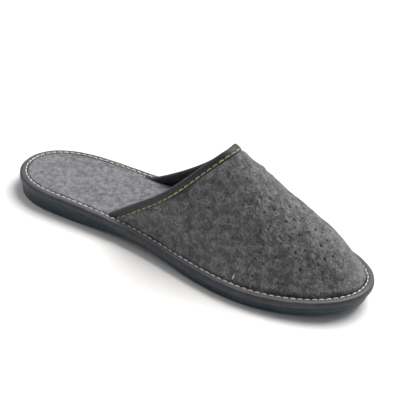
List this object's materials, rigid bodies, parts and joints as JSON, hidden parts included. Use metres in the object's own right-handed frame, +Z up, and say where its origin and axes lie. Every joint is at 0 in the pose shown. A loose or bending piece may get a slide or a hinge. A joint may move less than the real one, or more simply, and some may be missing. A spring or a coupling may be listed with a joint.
{
  "type": "felt slipper",
  "caption": "Backless left felt slipper on a low rubber sole, with a felt footbed, an edge tape round the rim and a dark tape over the collar.",
  "frame": {"origin": "on the floor, under the middle of the slipper's bounding box", "axes": "+X towards the toe, +Y towards the wearer's left, which is the outer side of this left shoe, +Z up"},
  "size_m": [0.285, 0.1082, 0.0887],
  "materials": {
    "sole_rubber": "dark petrol moulded rubber, satin",
    "insole_felt": "light grey mottled felt",
    "edge_tape": "grey tape with ivory stitches, matt",
    "upper_felt": "dark grey mottled felt, fuzzy",
    "collar_tape": "charcoal tape with yellowish stitches, matt"
  },
  "bodies": {
    "root": {"outsole": "sole_rubber", "insole": "insole_felt", "edge_binding": "edge_tape", "upper": "upper_felt", "collar_binding": "collar_tape"}
  },
  "joints": []
}
